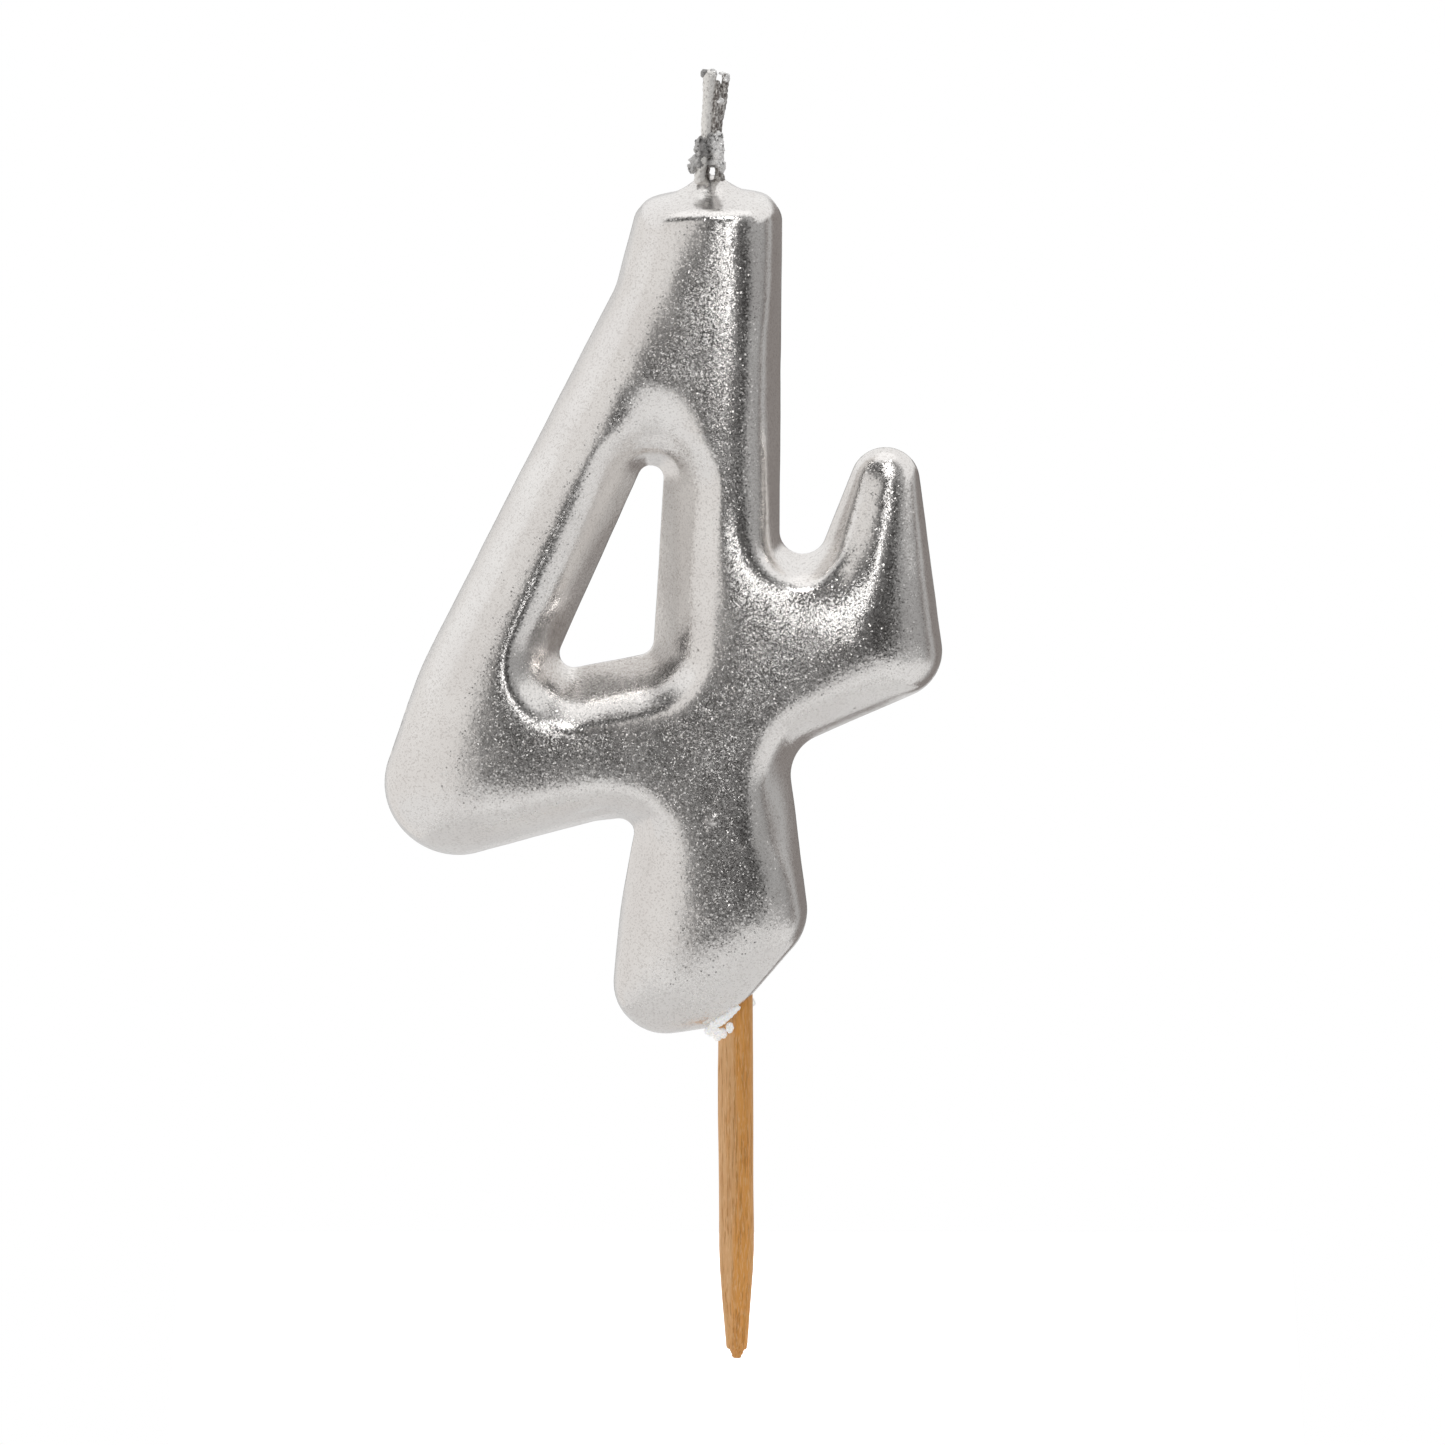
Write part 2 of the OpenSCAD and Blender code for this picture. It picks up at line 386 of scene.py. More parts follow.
    def height(self, points: np.ndarray) -> np.ndarray:
        """Height of the face above the middle plane.

        Args:
            points: Positions in the plane, in millimetres.

        Returns:
            One height for each point.
        """
        shape = self.shape
        to_eye = distance_to(points, self.eye)
        gap = np.minimum(distance_to(points, self.outer), to_eye)
        full = np.minimum(distance_to(points, self.tall), to_eye)
        reach = np.sqrt(2 * np.maximum(self._ratio_at(points), 0.1) * full) / shape.fill_radius
        face = shape.swell_depth * reach / (1 + reach**4) ** 0.25
        below = np.clip(self._below_top(points) / shape.top_round, 0.02, 1.0)
        face *= (1 - (1 - below) ** shape.top_power) ** (1 / shape.top_power)
        hollow = np.exp(-((self._open_distance(points, shape.valley) / shape.valley_width) ** 2))
        face *= 1 - shape.valley_share * (hollow * smooth_step(points[:, 1], *shape.valley_fade))
        near_notch = smooth_step(self._open_distance(points, shape.notch_wall), *shape.notch_reach)
        turned = np.max([
            smooth_step(self._open_distance(points, path), *shape.round_reach) for path in shape.round_walls
        ], axis=0)
        draft = shape.draft + (shape.notch_draft - shape.draft) * near_notch
        draft += (shape.top_draft - draft) * smooth_step(below, *shape.top_reach)
        draft += (shape.round_draft - draft) * turned
        draft += (shape.eye_draft - draft) * smooth_step(to_eye, *shape.eye_reach)
        power = shape.wall_power + (shape.round_power - shape.wall_power) * turned
        wall = np.maximum(draft * gap, TINY)
        low = (wall**-power + np.maximum(face, TINY) ** -power) ** (-1 / power)
        flat = shape.flat_power
        return (low**-flat + shape.half_depth**-flat) ** (-1 / flat)

    @staticmethod
    def _open_distance(points: np.ndarray, path: tuple[Spot, ...]) -> np.ndarray:
        """Shortest distance from each point to an open path."""
        return distance_to(points, np.array(path), closed=False)


# ---------------------------------------------------------------- shader helpers


class NodeBench:
    """Adds nodes and links to a node tree in a few words."""

    def __init__(self, tree: bpy.types.NodeTree) -> None:
        """Work on the given tree."""
        self.tree = tree

    def add(self, kind: str, **settings: object) -> bpy.types.Node:
        """Add a node and set its properties.

        Args:
            kind: The node's type name.
            **settings: Properties of the node.

        Returns:
            The new node.
        """
        made = self.tree.nodes.new(kind)
        for key, value in settings.items():
            setattr(made, key, value)
        return made

    def link(self, source: bpy.types.NodeSocket, target: bpy.types.NodeSocket) -> None:
        """Join two sockets."""
        self.tree.links.new(source, target)

    def fill(self, slots: object, values: object) -> None:
        """Give each socket its value, by a link where the value is itself a socket."""
        for slot, value in zip(slots, values):
            if isinstance(value, bpy.types.NodeSocket):
                self.link(value, slot)
            else:
                slot.default_value = value

    def math(self, operation: str, *values: object) -> bpy.types.NodeSocket:
        """The result of a Math node over sockets or numbers."""
        made = self.add("ShaderNodeMath", operation=operation)
        self.fill(made.inputs, values)
        return made.outputs[0]

    def vector(self, operation: str, *values: object) -> bpy.types.NodeSocket:
        """The result of a Vector Math node over sockets or points."""
        made = self.add("ShaderNodeVectorMath", operation=operation)
        self.fill(made.inputs, values)
        return made.outputs["Vector"]

    def ease(
        self, value: bpy.types.NodeSocket, low: float, high: float, start: float = 0.0, stop: float = 1.0
    ) -> bpy.types.NodeSocket:
        """Ease a value from start to stop as it goes from low to high."""
        made = self.add("ShaderNodeMapRange", interpolation_type="SMOOTHSTEP")
        slots = [made.inputs[key] for key in ("Value", "From Min", "From Max", "To Min", "To Max")]
        self.fill(slots, (value, low, high, start, stop))
        return made.outputs["Result"]

    def mix(self, factor: object, first: object, second: object) -> bpy.types.NodeSocket:
        """Mix two colours by a factor.

        Args:
            factor: A socket or number.
            first: A socket or colour, shown at 0.
            second: A socket or colour, shown at 1.

        Returns:
            The mixed colour's socket.
        """
        made = self.add("ShaderNodeMix", data_type="RGBA")
        self.fill((made.inputs[0], made.inputs[6], made.inputs[7]), (factor, first, second))
        return made.outputs[2]

    def noise(
        self, place: bpy.types.NodeSocket, scale: float, detail: float = 2.0, roughness: float = 0.5
    ) -> bpy.types.NodeSocket:
        """A noise texture's value; scale is per metre."""
        made = self.add("ShaderNodeTexNoise")
        slots = [made.inputs[key] for key in ("Vector", "Scale", "Detail", "Roughness")]
        self.fill(slots, (place, scale, detail, roughness))
        return made.outputs["Fac"]

    def grain(
        self, place: bpy.types.NodeSocket, length: float, scale: float, detail: float = 2.0,
        roughness: float = 0.5,
    ) -> bpy.types.NodeSocket:
        """Noise drawn out along z; length is how much slower it changes that way."""
        return self.noise(self.vector("MULTIPLY", place, (1.0, 1.0, length)), scale, detail, roughness)

    def split(self, vector: bpy.types.NodeSocket) -> bpy.types.NodeOutputs:
        """The x, y and z of a vector."""
        made = self.add("ShaderNodeSeparateXYZ")
        self.link(vector, made.inputs[0])
        return made.outputs

    def cells(
        self, place: bpy.types.NodeSocket, scale: object
    ) -> tuple[bpy.types.Node, bpy.types.NodeOutputs]:
        """Cells of a random colour: the texture's node and the colour's channels."""
        made = self.add("ShaderNodeTexVoronoi", feature="F1")
        self.fill((made.inputs["Vector"], made.inputs["Scale"]), (place, scale))
        channels = self.add("ShaderNodeSeparateColor")
        self.link(made.outputs["Color"], channels.inputs[0])
        return made, channels.outputs

    def bump(self, height: bpy.types.NodeSocket, strength: float, distance: float) -> bpy.types.Node:
        """A Bump node over a height; its Normal input is left free."""
        made = self.add("ShaderNodeBump")
        slots = [made.inputs[key] for key in ("Height", "Strength", "Distance")]
        self.fill(slots, (height, strength, distance))
        return made


def new_group(
    name: str, inputs: dict[str, float], outputs: dict[str, str]
) -> tuple[bpy.types.NodeTree, NodeBench, bpy.types.NodeOutputs, bpy.types.NodeInputs]:
    """Start a shader node group.

    Args:
        name: The group's name.
        inputs: Each number input's name and default.
        outputs: Each output's name and socket type.

    Returns:
        The group, a bench on it, the sockets that it is given and the sockets that it puts out.
    """
    tree = bpy.data.node_groups.new(name, "ShaderNodeTree")
    place = tree.interface.new_socket(name="Place", in_out="INPUT", socket_type="NodeSocketVector")
    place.hide_value = True
    for key, value in inputs.items():
        socket = tree.interface.new_socket(name=key, in_out="INPUT", socket_type="NodeSocketFloat")
        socket.default_value = value
    for key, kind in outputs.items():
        tree.interface.new_socket(name=key, in_out="OUTPUT", socket_type=kind)
    bench = NodeBench(tree)
    return tree, bench, bench.add("NodeGroupInput").outputs, bench.add("NodeGroupOutput").inputs


def flake_group() -> bpy.types.NodeTree:
    """Metal flakes: tiny cells that each face a slightly different way, a few of them far more."""
    rarity, rare_lean, usual_lean = 6.0, 3.0, 0.4
    tree, bench, given, out = new_group(
        "metal_flakes",
        {"Cells Per Metre": 6000.0, "Tilt": 0.2},
        {"Normal": "NodeSocketVector", "Cells": "NodeSocketFloat"},
    )
    cells, channels = bench.cells(given["Place"], given["Cells Per Metre"])
    centred = bench.vector("SUBTRACT", cells.outputs["Color"], (0.5, 0.5, 0.5))
    rare = bench.add("ShaderNodeTexWhiteNoise", noise_dimensions="3D")
    bench.link(cells.outputs["Position"], rare.inputs["Vector"])
    lean = bench.math(
        "MULTIPLY_ADD", bench.math("POWER", rare.outputs["Value"], rarity), rare_lean, usual_lean
    )
    tilted = bench.add("ShaderNodeVectorMath", operation="SCALE")
    tilt = bench.math("MULTIPLY", lean, given["Tilt"])
    bench.fill((tilted.inputs[0], tilted.inputs["Scale"]), (centred, tilt))
    surface = bench.add("ShaderNodeNewGeometry").outputs["Normal"]
    total = bench.vector("ADD", surface, tilted.outputs["Vector"])
    bench.link(bench.vector("NORMALIZE", total), out["Normal"])
    bench.link(channels[0], out["Cells"])
    return tree


def speck_group() -> bpy.types.NodeTree:
    """Sparse specks of dust and tiny pits."""
    edge, core = 0.075, 0.03
    tree, bench, given, out = new_group(
        "specks", {"Cells Per Metre": 500.0, "Share": 0.1}, {"Specks": "NodeSocketFloat"}
    )
    cells, channels = bench.cells(given["Place"], given["Cells Per Metre"])
    chosen = bench.math("LESS_THAN", channels[1], given["Share"])
    small = bench.ease(cells.outputs["Distance"], edge, core)
    bench.link(bench.math("MULTIPLY", chosen, small), out["Specks"])
    return tree


class Effects(Enum):
    """Shared shader groups."""

    FLAKES = "metal_flakes"
    SPECKS = "specks"

    def build(self) -> bpy.types.NodeTree:
        """The group, made on first use."""
        made = bpy.data.node_groups.get(self.value)
        if made:
            return made
        return flake_group() if self is Effects.FLAKES else speck_group()


@dataclass(frozen=True)
class Finish:
    """What every finish has: a name, its shader's constants, and the strength and depth of its relief."""

    name: str
    roughness: float = 0.5
    metallic: float = 0.0
    coat: float = 0.0
    coat_roughness: float = 0.1
    subsurface: float = 0.0
    relief: Spot = (0.5, 0.0001)

    def start(self) -> tuple[bpy.types.Material, NodeBench, bpy.types.Node, bpy.types.NodeSocket]:
        """Make the material.

        Returns:
            The material, a bench on its nodes, its shader node and the place on the surface.
        """
        material = bpy.data.materials.new(self.name)
        material.use_nodes = True
        bench = NodeBench(material.node_tree)
        shader = material.node_tree.nodes["Principled BSDF"]
        for key, value in (
            ("Roughness", self.roughness), ("Metallic", self.metallic), ("Coat Weight", self.coat),
            ("Coat Roughness", self.coat_roughness), ("Subsurface Weight", self.subsurface),
        ):
            shader.inputs[key].default_value = value
        place = bench.add("ShaderNodeTexCoord").outputs["Object"]
        return material, bench, shader, place

    @staticmethod
    def effect(
        bench: NodeBench, kind: Effects, place: bpy.types.NodeSocket, **values: float
    ) -> bpy.types.Node:
        """Place a shared group in a material.

        Args:
            bench: The material's bench.
            kind: Which group.
            place: The place on the surface.
            **values: Its number inputs, with _ for a space.

        Returns:
            The group node.
        """
        made = bench.add("ShaderNodeGroup")
        made.node_tree = kind.build()
        bench.link(place, made.inputs["Place"])
        for key, value in values.items():
            made.inputs[key.replace("_", " ")].default_value = value
        return made


@dataclass(frozen=True)
class SilverLacquer(Finish):
    """Metallic lacquer with a fine flake, grainier on the faces than on the steep walls."""

    name: str = "silver_lacquer"
    metallic: float = 1.0
    light: Colour = (0.83, 0.81, 0.79, 1.0)
    shade: Colour = (0.78, 0.755, 0.735, 1.0)
    grit: Colour = (0.46, 0.43, 0.41, 1.0)
    dust: Colour = (0.16, 0.14, 0.13, 1.0)
    face_turn: Spot = (0.45, 0.9)
    flake_cells: float = 8500.0
    flake_tilt: float = 0.125
    wall_tilt_share: float = 0.25
    speck_cells: float = 330.0
    speck_share: float = 0.12
    speck_depth: float = 0.75
    cloud_scale: float = 190.0
    grit_depth: float = 0.42
    smooth_roughness: float = 0.19
    face_roughness: float = 0.225
    flake_spread: float = 0.1
    wide_spread: float = 0.08
    wide_scale: float = 420.0
    tooth_scale: float = 2600.0
    relief: Spot = (0.12, 0.00012)

    def build(self) -> bpy.types.Material:
        """The finished material."""
        material, bench, shader, place = self.start()
        facing = bench.split(bench.add("ShaderNodeNewGeometry").outputs["Normal"])
        face = bench.ease(bench.math("ABSOLUTE", facing["Y"]), *self.face_turn)
        flakes = self.effect(bench, Effects.FLAKES, place, Cells_Per_Metre=self.flake_cells)
        least = self.flake_tilt * self.wall_tilt_share
        bench.link(bench.math("MULTIPLY_ADD", face, self.flake_tilt - least, least), flakes.inputs["Tilt"])
        specks = self.effect(
            bench, Effects.SPECKS, place, Cells_Per_Metre=self.speck_cells, Share=self.speck_share
        )
        cells = flakes.outputs["Cells"]
        cloud = bench.noise(place, self.cloud_scale, 3.0)
        colour = bench.mix(bench.ease(cloud, 0.3, 0.7), self.light, self.shade)
        colour = bench.mix(bench.ease(cells, 0.0, 0.4, self.grit_depth, 0.0), colour, self.grit)
        dusty = bench.math("MULTIPLY", specks.outputs["Specks"], self.speck_depth)
        bench.link(bench.mix(dusty, colour, self.dust), shader.inputs["Base Color"])
        rough = bench.ease(face, 0.0, 1.0, self.smooth_roughness, self.face_roughness)
        for value, spread in (
            (cells, self.flake_spread), (bench.noise(place, self.wide_scale), self.wide_spread)
        ):
            rough = bench.math("ADD", rough, bench.math("MULTIPLY_ADD", value, spread, -spread / 2))
        bench.link(rough, shader.inputs["Roughness"])
        bump = bench.bump(bench.noise(place, self.tooth_scale, 3.0), *self.relief)
        bench.link(flakes.outputs["Normal"], bump.inputs["Normal"])
        bench.link(bump.outputs["Normal"], shader.inputs["Normal"])
        return material


@dataclass(frozen=True)
class CrustLacquer(Finish):
    """Thick dried silver on the wick, with painted shade in a dark band on the left and painted highlights
    on the knobs to both sides of it.
    """

    name: str = "wick_lacquer"
    metallic: float = 0.5
    # painted highlight colour for the knobs, and painted shade (the dark colour) for the band on the left
    painted_highlight: Colour = (0.93, 0.92, 0.91, 1.0)
    dark: Colour = (0.07, 0.066, 0.063, 1.0)
    turn: float = -0.0018
    grain_scale: float = 3800.0
    patch_scale: float = 900.0
    relief: Spot = (0.7, 0.0001)
    lit_right_fade: Spot = (-0.0004, 0.0002)
    lit_outer_fade: Spot = (-0.0009, -0.0013)

    def build(self) -> bpy.types.Material:
        """The finished material."""
        material, bench, shader, place = self.start()
        grains = bench.noise(place, self.grain_scale, 4.0, 0.65)
        patches = bench.noise(place, self.patch_scale)
        blend = bench.math("ADD", bench.math("MULTIPLY", grains, 0.6), bench.math("MULTIPLY", patches, 0.5))
        # painted light by x: the crust is lit to the right of the turn and at the far left, and the band
        # between stays in painted shade
        x = bench.split(place)["X"]
        right = bench.ease(x, *(self.turn + edge for edge in self.lit_right_fade), 0.3, 1.0)
        outer = bench.ease(x, *(self.turn + edge for edge in self.lit_outer_fade), 0.0, 0.6)
        painted_light_share = bench.math("MULTIPLY", bench.ease(blend, 0.42, 0.54), bench.math("MAXIMUM", right, outer))
        bench.link(bench.mix(painted_light_share, self.dark, self.painted_highlight), shader.inputs["Base Color"])
        bench.link(bench.ease(grains, 0.3, 0.7, 0.42, 0.18), shader.inputs["Roughness"])
        bench.link(bench.bump(grains, *self.relief).outputs["Normal"], shader.inputs["Normal"])
        return material


@dataclass(frozen=True)
class YarnCotton(Finish):
    """Cotton yarn stiffened with wax and a dusting of silver."""

    name: str = "wick_cotton"
    roughness: float = 0.36
    metallic: float = 0.6
    coat: float = 0.15
    light: Colour = (0.86, 0.84, 0.81, 1.0)
    dark: Colour = (0.14, 0.12, 0.11, 1.0)
    # dark patches where the fibre and grain noise falls below this level
    dark_level: float = 0.28
    dark_fade: float = 0.22
    fibre_scale: float = 9000.0
    grain_scale: float = 4200.0
    relief: Spot = (0.6, 0.00006)

    def build(self) -> bpy.types.Material:
        """The finished material."""
        material, bench, shader, place = self.start()
        fibre = bench.grain(place, 0.16, self.fibre_scale, 3.0, 0.6)
        grains = bench.noise(place, self.grain_scale, 3.0, 0.6)
        blend = bench.math("ADD", bench.math("MULTIPLY", fibre, 0.5), bench.math("MULTIPLY", grains, 0.5))
        # mixes the dark colour in where the noise is low
        noise_mix = bench.ease(blend, self.dark_level, self.dark_level + self.dark_fade)
        bench.link(bench.mix(noise_mix, self.dark, self.light), shader.inputs["Base Color"])
        bench.link(bench.bump(fibre, *self.relief).outputs["Normal"], shader.inputs["Normal"])
        return material


@dataclass(frozen=True)
class PickWood(Finish):
    """Bare wood with long fine grain, paler on one flank."""

    name: str = "pick_wood"
    roughness: float = 0.62
    pale: Colour = (0.76, 0.43, 0.19, 1.0)
    warm: Colour = (0.78, 0.35, 0.075, 1.0)
    vein: Colour = (0.46, 0.18, 0.035, 1.0)
    fleck: Colour = (0.90, 0.62, 0.34, 1.0)
    flank: Spot = (-0.0009, 0.0005)
    flank_wander: float = 0.003
    rim: Spot = (0.0010, 0.0014)
    grain_scale: float = 5200.0
    relief: Spot = (0.5, 0.00008)

    def build(self) -> bpy.types.Material:
        """The finished material."""
        material, bench, shader, place = self.start()
        band = bench.grain(place, 0.05, 1300.0, 3.0)
        grain = bench.grain(place, 0.06, self.grain_scale, 4.0, 0.68)
        broad = bench.grain(place, 0.03, 2300.0)
        fine = bench.grain(place, 0.1, 12000.0)
        x = bench.split(place)["X"]
        wander = bench.math("MULTIPLY_ADD", band, self.flank_wander, -self.flank_wander / 2)
        flank = bench.ease(bench.math("ADD", x, wander), *self.flank)
        rim = bench.math("MULTIPLY", bench.ease(x, *self.rim), 0.6)
        colour = bench.mix(bench.math("SUBTRACT", flank, rim), self.pale, self.warm)
        colour = bench.mix(bench.ease(broad, 0.5, 0.68, 0.0, 0.25), colour, self.vein)
        colour = bench.mix(bench.ease(grain, 0.50, 0.64, 0.0, 0.7), colour, self.vein)
        colour = bench.mix(bench.ease(fine, 0.5, 0.7, 0.0, 0.5), colour, self.fleck)
        bench.link(colour, shader.inputs["Base Color"])
        bench.link(bench.ease(grain, 0.3, 0.7, 0.5, 0.75), shader.inputs["Roughness"])
        bench.link(bench.bump(grain, *self.relief).outputs["Normal"], shader.inputs["Normal"])
        return material


@dataclass(frozen=True)
class BareWax(Finish):
    """Torn white wax that glows faintly: painted light from emission."""

    name: str = "bare_wax_painted_glow"
    roughness: float = 0.42
    subsurface: float = 0.6
    light: Colour = (0.98, 0.98, 0.97, 1.0)
    shade: Colour = (0.90, 0.88, 0.86, 1.0)
    # painted light: emission strength that makes the wax glows faintly in its own colour
    painted_glow: float = 0.22
    crumb_scale: float = 2600.0
    relief: Spot = (0.8, 0.00015)

    def build(self) -> bpy.types.Material:
        """The finished material."""
        material, bench, shader, place = self.start()
        shader.inputs["Subsurface Radius"].default_value = (0.0006, 0.0005, 0.0004)
        shader.inputs["Subsurface Scale"].default_value = 1.0
        # painted light: the wax emits its own light colour
        shader.inputs["Emission Color"].default_value = self.light
        shader.inputs["Emission Strength"].default_value = self.painted_glow
        crumbs = bench.noise(place, self.crumb_scale, 4.0, 0.6)
        colour = bench.mix(bench.ease(crumbs, 0.35, 0.6), self.shade, self.light)
        bench.link(colour, shader.inputs["Base Color"])
        bench.link(bench.bump(crumbs, *self.relief).outputs["Normal"], shader.inputs["Normal"])
        return material


@dataclass(frozen=True)
class FloorPaper(Finish):
    """Plain pale paper that the candle is shown on."""

    name: str = "floor_paper"
    roughness: float = 0.9
    tint: Colour = (0.80, 0.80, 0.80, 1.0)
    tooth: Colour = (0.84, 0.84, 0.84, 1.0)
    tooth_scale: float = 700.0
    lift: float = 0.9

    def build(self) -> bpy.types.Material:
        """The finished material."""
        material, bench, shader, place = self.start()
        shader.inputs["Specular IOR Level"].default_value = 0.0
        seen = bench.add("ShaderNodeLightPath").outputs["Is Camera Ray"]
        bench.link(bench.mix(seen, BLACK, WHITE), shader.inputs["Emission Color"])
        shader.inputs["Emission Strength"].default_value = self.lift
        tooth = bench.noise(place, self.tooth_scale)
        bench.link(bench.mix(tooth, self.tint, self.tooth), shader.inputs["Base Color"])
        return material


# ---------------------------------------------------------------- the numeral


@dataclass
class Numeral:
    """The silver-filmed wax numeral."""

    shape: NumeralShape = field(default_factory=NumeralShape)
    finish: SilverLacquer = field(default_factory=SilverLacquer)
    wick_x: float = -2.1
    cone_height: float = 1.5
    cone_spread: float = 1.8
    cone_power: float = 2.2
    cone_rate: float = 0.72
    dome_height: float = 0.5
    dome_half: float = 5.6
    lift_fade: Spot = (65.5, 67.6)
    waviness: float = 0.05
    front_fade: Spot = (0.5, 2.5)
    folds: tuple[tuple[Spot, Spot, float, float], ...] = (
        ((-12.9, 17.2), (-10.4, 17.9), 0.4, -0.13), ((-7.3, 17.4), (-8.3, 15.2), 0.45, -0.16),
        ((-5.55, 46.3), (-5.4, 48.0), 0.2, 0.05), ((-14.4, 29.3), (-15.6, 28.2), 0.22, 0.06),
    )
    grains: tuple[Point, ...] = (
        (-1.8, 17.5, 0.28), (0.4, 15.5, 0.2), (-13.6, 24.5, 0.18), (8.8, 37.7, -0.35), (1.9, 8.3, 0.16),
    )
    grain_rise: float = 0.45
    relax_rounds: int = 6
    relax_pull: float = 0.35

    def _plan(self, surface: NumeralSurface) -> tuple[np.ndarray, np.ndarray]:
        """Triangulate the outline.

        Args:
            surface: The sampled outline.

        Returns:
            The plane's points and its triangles.
        """
        shape = self.shape
        loops = (surface.outer, surface.eye)
        edge = np.vstack(loops)
        parts = [edge]
        for gap in shape.rings:
            for loop in loops:
                along = unit_rows(np.roll(loop, -1, axis=0) - np.roll(loop, 1, axis=0))
                inner = loop + gap * np.column_stack([-along[:, 1], along[:, 0]])
                kept = inner[surface.within(inner)]
                kept = kept[surface.edge_distance(kept) > gap - shape.ring_slack]
                parts.append(self._thinned(kept, shape.least_share * shape.step))
        low, high = edge.min(axis=0), edge.max(axis=0)
        rows = np.arange(low[1], high[1], shape.inner_step * shape.row_share)
        cells = np.array([
            (x, z)
            for k, z in enumerate(rows)
            for x in np.arange(low[0] + (k % 2) * shape.inner_step / 2, high[0], shape.inner_step)
        ])
        cells = cells[surface.within(cells)]
        parts.append(cells[surface.edge_distance(cells) > shape.rings[-1] + shape.inner_margin])
        points = np.vstack(parts)
        count, first = len(edge), len(loops[0])
        borders = [(i, (i + 1) % first) for i in range(first)]
        borders += [(first + i, first + (i + 1) % (count - first)) for i in range(count - first)]
        made = delaunay_2d_cdt([Vector(p) for p in points.tolist()], borders, [], 0, TINY)
        plane = np.array([tuple(v) for v in made[0]])
        faces = np.array(made[2])
        middle = plane[faces].mean(axis=1)
        faces = faces[surface.within(middle)]
        a, b, c = (plane[faces[:, k]] for k in range(3))
        area = (b[:, 0] - a[:, 0]) * (c[:, 1] - a[:, 1]) - (b[:, 1] - a[:, 1]) * (c[:, 0] - a[:, 0])
        faces[area < 0] = faces[area < 0][:, ::-1]
        return plane, faces

    @staticmethod
    def _thinned(points: np.ndarray, least: float) -> np.ndarray:
        """Drop points closer than least to the last one kept."""
        kept: list[np.ndarray] = []
        for point in points:
            if not kept or np.linalg.norm(point - kept[-1]) >= least:
                kept.append(point)
        return np.array(kept) if kept else np.empty((0, 2))

    def _details(self, points: np.ndarray, normals: np.ndarray) -> np.ndarray:
        """Casting marks: slow waves, folds, grains and a dimple.

        Args:
            points: Corner positions in millimetres.
            normals: Their normals.

        Returns:
            The moved positions.
        """
        rise = self.waviness * noise_at(points, 6.0, 1.0) + 0.35 * self.waviness * noise_at(points, 2.2, 2.0)
        front = smooth_step(-points[:, 1], *self.front_fade)
        flat = points[:, [0, 2]]
        for start, stop, width, height in self.folds:
            gap = distance_to(flat, np.array((start, stop)), closed=False)
            rise += height * np.exp(-((gap / width) ** 2)) * front
        for x, z, size in self.grains:
            gap = np.hypot(flat[:, 0] - x, flat[:, 1] - z)
            rise += self.grain_rise * size * np.exp(-((gap / abs(size)) ** 2)) * front
        return points + normals * rise[:, None]

    def build(self) -> bpy.types.Object:
        """The numeral's mesh, dressed in its film.

        Returns:
            The new piece.
        """
        surface = NumeralSurface(self.shape)
        plane, faces = self._plan(surface)
        rim = surface.edge_distance(plane) < 1e-3
        height = np.where(rim, 0.0, surface.height(plane))
        back_of = np.where(rim, np.arange(len(plane)), len(plane) + np.cumsum(~rim) - 1)
        front = np.column_stack([plane[:, 0], -height, plane[:, 1]])
        back = np.column_stack([plane[~rim, 0], height[~rim], plane[~rim, 1]])
        points = np.vstack([front, back])
        triangles = np.vstack([faces, back_of[faces][:, ::-1]])
        pull = np.full(len(points), self.relax_pull)
        pull[: len(plane)][rim] = 0.0
        points = relax(points, triangles, self.relax_rounds, pull)
        points = self._with_cone(points)
        points = self._details(points, vertex_normals(points, triangles))
        return add_mesh("numeral_film", points, triangles.tolist(), self.finish.build())

    def _with_cone(self, points: np.ndarray) -> np.ndarray:
        """Draw the wax up round the foot of the wick."""
        reach = np.hypot(points[:, 0] - self.wick_x, points[:, 1])
        lift = self.cone_height * np.exp(-((reach / self.cone_spread) ** self.cone_power) * self.cone_rate)
        lift += self.dome_height * np.clip(1 - ((points[:, 0] - self.wick_x) / self.dome_half) ** 2, 0, 1)
        moved = points.copy()
        moved[:, 2] += lift * smooth_step(points[:, 2], *self.lift_fade)
        return moved


# ---------------------------------------------------------------- the wick


def band_faces(rows: int, sides: int) -> list:
    """Four-cornered faces between rings that follow each other, each ring of the same number of sides."""
    return [
        (r * sides + s, r * sides + (s + 1) % sides, (r + 1) * sides + (s + 1) % sides, (r + 1) * sides + s)
        for r in range(rows - 1)
        for s in range(sides)
    ]


